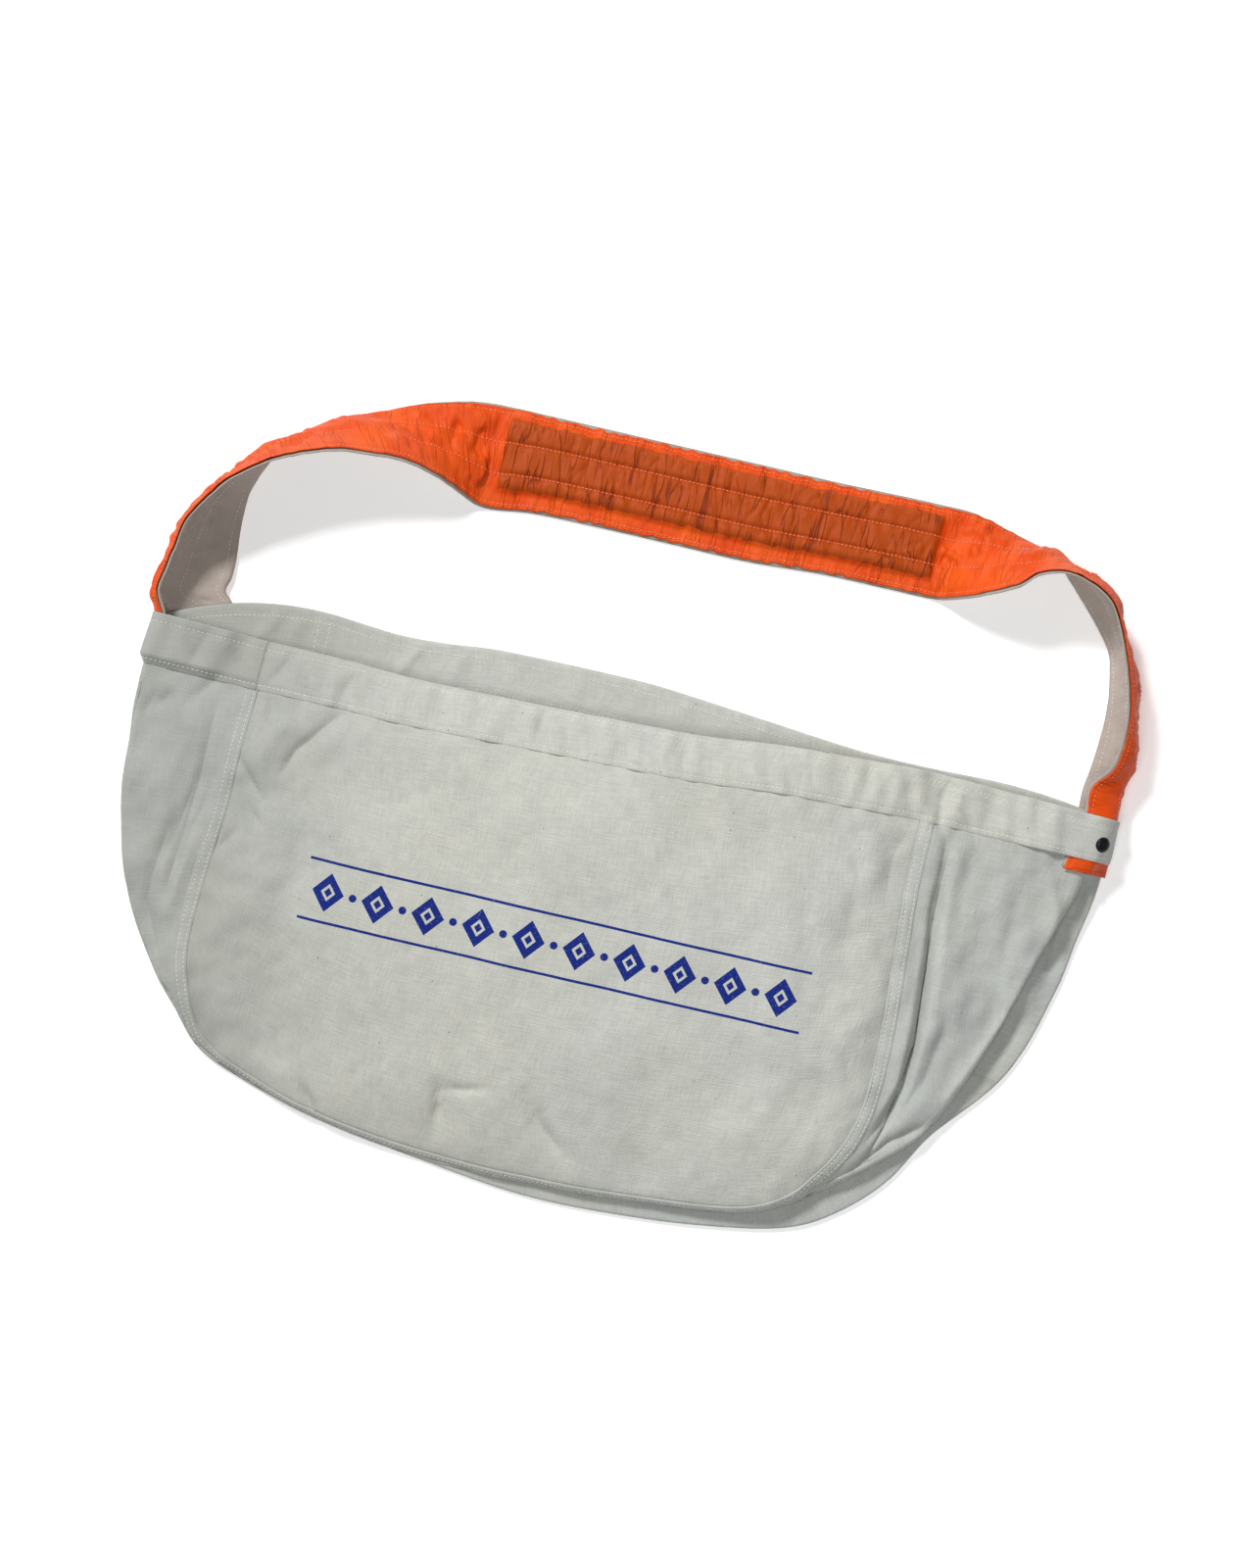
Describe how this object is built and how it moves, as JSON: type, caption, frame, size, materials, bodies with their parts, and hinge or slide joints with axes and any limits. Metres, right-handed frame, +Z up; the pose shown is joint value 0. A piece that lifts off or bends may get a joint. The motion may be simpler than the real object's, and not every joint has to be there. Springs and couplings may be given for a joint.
{
  "type": "newspaper delivery bag",
  "caption": "Wide canvas shoulder bag lying flat, rounded at the bottom, with a hem round the open mouth and a padded orange strap laid out above it.",
  "frame": {"origin": "bottom centre of the box round the whole bag as it lies on the floor", "axes": "+X along the mouth toward the riveted strap end, +Y from the bag's bottom toward the strap, +Z up from the floor"},
  "size_m": [0.6682, 0.515, 0.0574],
  "materials": {
    "canvas": "matt natural cotton duck",
    "strap_nylon": "orange woven nylon with a slight sheen",
    "strap_canvas": "matt natural canvas",
    "pad_foam": "soft foam",
    "rivet_metal": "satin black"
  },
  "bodies": {
    "root": {"front_panel": "canvas", "back_panel": "canvas", "gusset": "canvas", "hem_band": "canvas", "strap_face": "strap_nylon", "strap_backing": "strap_canvas", "shoulder_pad": "pad_foam", "rivet_right": "rivet_metal"}
  },
  "joints": []
}
